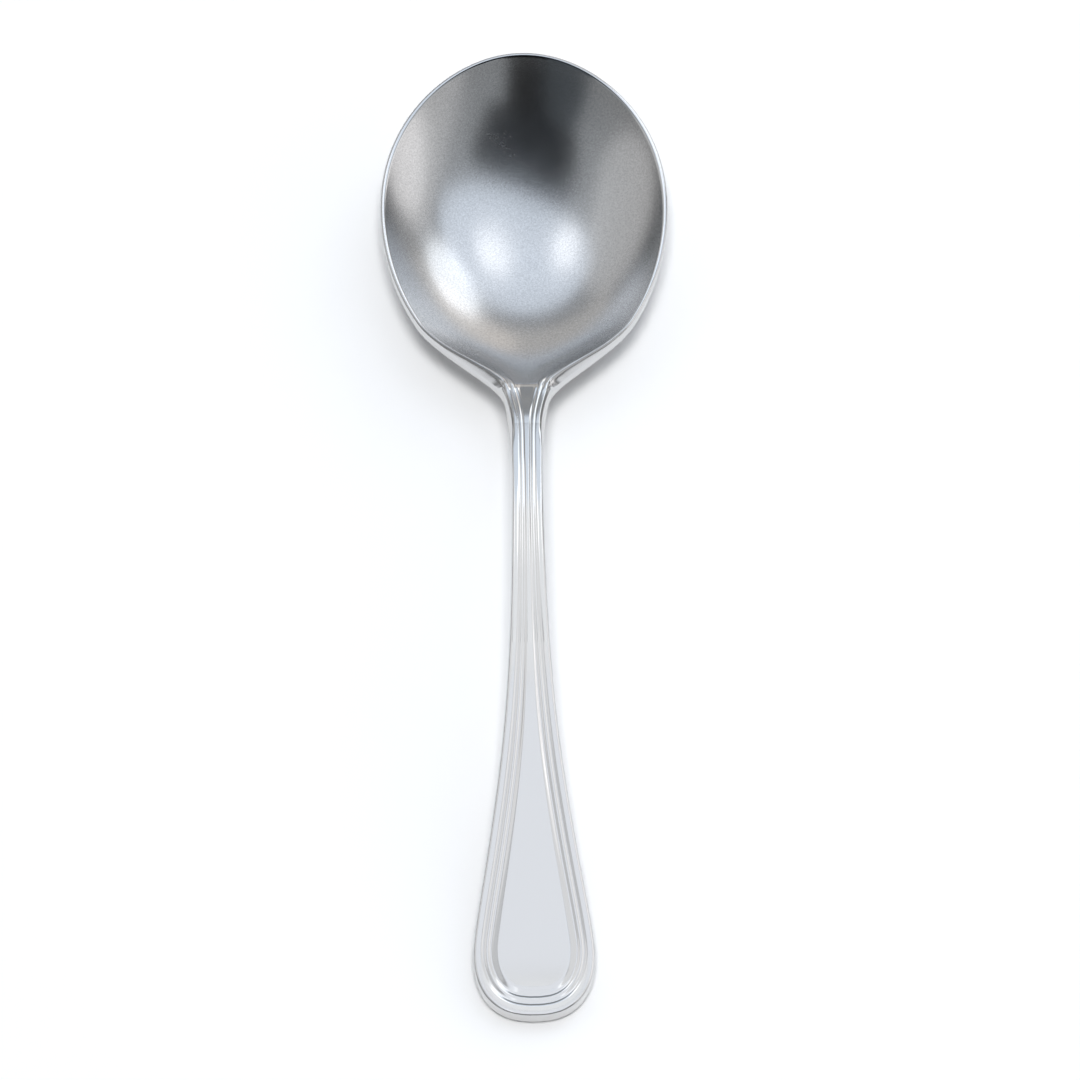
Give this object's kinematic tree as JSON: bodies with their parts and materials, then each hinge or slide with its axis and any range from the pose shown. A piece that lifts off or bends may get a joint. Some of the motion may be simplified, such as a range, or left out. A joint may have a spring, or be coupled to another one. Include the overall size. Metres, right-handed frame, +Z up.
{
  "type": "soup spoon",
  "caption": "Round-bowl metal soup spoon with a shallow round bowl, a slim arched stem and a flared handle bordered by a raised double thread.",
  "frame": {"origin": "on the table under the centre line, halfway between the handle end and the bowl tip, with the spoon lying as it rests on a table", "axes": "+Y along the spoon from the handle end to the bowl tip, +X across it to the right with the bowl facing up, +Z up out of the open bowl"},
  "size_m": [0.0474, 0.164, 0.0155],
  "materials": {
    "bowl_steel": "satin stainless steel inside, polished outside",
    "stem_steel": "polished stainless steel",
    "handle_steel": "polished stainless steel with fine use marks"
  },
  "bodies": {
    "root": {"bowl": "bowl_steel", "neck": "stem_steel", "handle": "handle_steel"}
  },
  "joints": []
}
